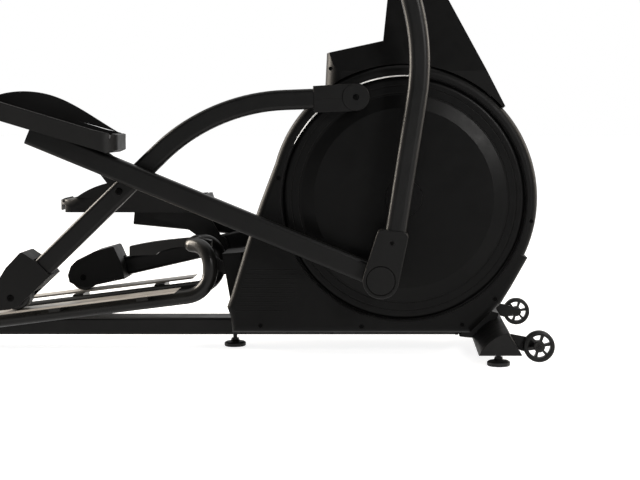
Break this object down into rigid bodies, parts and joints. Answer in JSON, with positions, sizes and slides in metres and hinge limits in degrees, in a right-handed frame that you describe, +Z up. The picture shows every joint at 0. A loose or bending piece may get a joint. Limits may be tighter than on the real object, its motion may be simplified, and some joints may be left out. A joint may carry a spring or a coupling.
{
  "type": "elliptical trainer",
  "caption": "Front-drive elliptical trainer with swing arms, curved roller arms on a powered ramp, round crank discs in a moulded housing, console mast and transport wheels.",
  "frame": {"origin": "on the floor under the middle of the machine's bounding box", "axes": "+X forward, from the pedals to the drive housing; +Y to the user's left; +Z up"},
  "size_m": [1.7474, 0.592, 1.6111],
  "materials": {
    "frame_paint": "fine textured powder coat",
    "arm_paint": "satin powder coat",
    "ramp_paint": "glossier powder coat",
    "cover_plastic": "fine grained",
    "disc_plastic": "fine grained, turned look",
    "cap_plastic": "smooth satin",
    "joint_plastic": "grained",
    "cast_arm": "painted casting",
    "roller_urethane": "smooth",
    "pedal_plastic": "grained",
    "pad_rubber": "ribbed mat",
    "grip_foam": "closed-cell foam",
    "track_aluminium": "worn dark anodised",
    "wheel_plastic": "hub with a rubber tread",
    "foot_rubber": "moulded",
    "steel": "ground",
    "screw_steel": "black oxide",
    "liner_plastic": "pale",
    "pulley_aluminium": "machined",
    "flywheel_iron": "turned rim",
    "belt_rubber": "ribbed",
    "brake_plastic": "plain",
    "motor_paint": "plain",
    "nut_brass": "machined",
    "console_plastic": "fine grained",
    "display_glass": "gloss"
  },
  "bodies": {
    "frame": {"base_tube": "frame_paint", "front_neck": "frame_paint", "front_stabilizer": "frame_paint", "rear_stabilizer": "frame_paint", "levelling_feet": "foot_rubber", "mast": "frame_paint", "swing_shaft": "steel", "power_inlet": "cap_plastic", "right_side_cover": "cover_plastic", "left_side_cover": "cover_plastic", "cover_screws": "screw_steel", "disc_liners": "liner_plastic", "rear_lift_cover": "cover_plastic", "mast_shroud": "cover_plastic", "crank_frame": "frame_paint", "crank_bearings": "steel", "brake_unit": "brake_plastic", "drive_belt": "belt_rubber", "lift_screw": "steel", "lift_motor": "motor_paint", "wheel_brackets": "frame_paint", "console": "console_plastic", "console_display": "display_glass", "fixed_handlebar": "frame_paint"},
    "crank": {"crank_axle": "steel", "drive_pulley": "pulley_aluminium", "right_crank_disc": "disc_plastic", "left_crank_disc": "disc_plastic", "right_crank_arm": "cast_arm", "left_crank_arm": "cast_arm", "right_hub_cap": "cap_plastic", "left_hub_cap": "cap_plastic"},
    "flywheel": {"flywheel": "flywheel_iron"},
    "ramp": {"ramp_frame": "ramp_paint", "right_track": "track_aluminium", "left_track": "track_aluminium", "ramp_brace": "ramp_paint"},
    "lift_nut": {"lift_nut": "nut_brass"},
    "right_swing": {"right_swing_arm": "arm_paint", "right_swing_joint_cover": "joint_plastic", "right_handle_grip": "grip_foam"},
    "right_pedal_link": {"right_pedal_arm": "arm_paint", "right_pedal": "pedal_plastic", "right_pedal_pad": "pad_rubber"},
    "right_roller_link": {"right_roller_arm": "arm_paint", "right_crank_joint_cover": "joint_plastic", "right_roller_cover": "joint_plastic"},
    "right_roller": {"right_roller": "roller_urethane"},
    "right_wheel": {"right_transport_wheel": "wheel_plastic"},
    "left_swing": {"left_swing_arm": "arm_paint", "left_swing_joint_cover": "joint_plastic", "left_handle_grip": "grip_foam"},
    "left_pedal_link": {"left_pedal_arm": "arm_paint", "left_pedal": "pedal_plastic", "left_pedal_pad": "pad_rubber"},
    "left_roller_link": {"left_roller_arm": "arm_paint", "left_crank_joint_cover": "joint_plastic", "left_roller_cover": "joint_plastic"},
    "left_roller": {"left_roller": "roller_urethane"},
    "left_wheel": {"left_transport_wheel": "wheel_plastic"}
  },
  "joints": [
    {"name": "crank_spin", "type": "hinge", "parent": "frame", "child": "crank", "pos_m": [0.54435, 0, 0.362], "axis": [0, -1, 0], "continuous": true},
    {"name": "flywheel_spin", "type": "hinge", "parent": "frame", "child": "flywheel", "pos_m": [0.36635, 0, 0.232], "axis": [0, -1, 0], "continuous": true},
    {"name": "right_swing", "type": "hinge", "parent": "frame", "child": "right_swing", "pos_m": [0.47635, 0, 1.15], "axis": [0, -1, 0], "range_deg": [-8.5, 21]},
    {"name": "left_swing", "type": "hinge", "parent": "frame", "child": "left_swing", "pos_m": [0.47635, 0, 1.15], "axis": [0, -1, 0], "range_deg": [-21, 8.5]},
    {"name": "ramp_tilt", "type": "hinge", "parent": "frame", "child": "ramp", "pos_m": [-0.78765, 0, 0.042], "axis": [0, -1, 0], "range_deg": [-5, 0]},
    {"name": "lift_nut_travel", "type": "slide", "parent": "frame", "child": "lift_nut", "axis": [-0.1134, 0, 0.9935], "range_m": [-0.082, 0]},
    {"name": "right_pedal_hinge", "type": "hinge", "parent": "right_swing", "child": "right_pedal_link", "pos_m": [0.49262, -0.215, 0.18691], "axis": [0, -1, 0], "range_deg": [-13.5, 5.5]},
    {"name": "right_roller_arm_hinge", "type": "hinge", "parent": "right_pedal_link", "child": "right_roller_link", "pos_m": [-0.09891, -0.1755, 0.37922], "axis": [0, -1, 0], "range_deg": [-31.4, 12.8]},
    {"name": "right_roller_spin", "type": "hinge", "parent": "right_roller_link", "child": "right_roller", "pos_m": [-0.34168, -0.133, 0.13929], "axis": [0, -1, 0], "continuous": true},
    {"name": "right_wheel_spin", "type": "hinge", "parent": "frame", "child": "right_wheel", "pos_m": [0.83935, -0.275, 0.044], "axis": [0, -1, 0], "continuous": true},
    {"name": "left_pedal_hinge", "type": "hinge", "parent": "left_swing", "child": "left_pedal_link", "pos_m": [0.70764, 0.215, 0.21496], "axis": [0, -1, 0], "range_deg": [-6.9, 16.9]},
    {"name": "left_roller_arm_hinge", "type": "hinge", "parent": "left_pedal_link", "child": "left_roller_link", "pos_m": [0.08581, 0.1755, 0.22953], "axis": [0, -1, 0], "range_deg": [-2, 4.9]},
    {"name": "left_roller_spin", "type": "hinge", "parent": "left_roller_link", "child": "left_roller", "pos_m": [-0.24641, 0.133, 0.15116], "axis": [0, -1, 0], "continuous": true},
    {"name": "left_wheel_spin", "type": "hinge", "parent": "frame", "child": "left_wheel", "pos_m": [0.83935, 0.275, 0.044], "axis": [0, -1, 0], "continuous": true}
  ],
  "couplings": [
    {"joint": "flywheel_spin", "follows": "crank_spin", "ratio": 6.25},
    {"joint": "left_swing", "follows": "right_swing", "ratio": -1},
    {"joint": "lift_nut_travel", "follows": "ramp_tilt", "m_per_rad": 0.934},
    {"joint": "right_pedal_hinge", "follows": "right_swing", "ratio": -0.64},
    {"joint": "right_roller_arm_hinge", "follows": "right_swing", "ratio": -1.49},
    {"joint": "left_pedal_hinge", "follows": "right_swing", "ratio": 0.8},
    {"joint": "left_roller_arm_hinge", "follows": "right_swing", "ratio": 0.227}
  ]
}
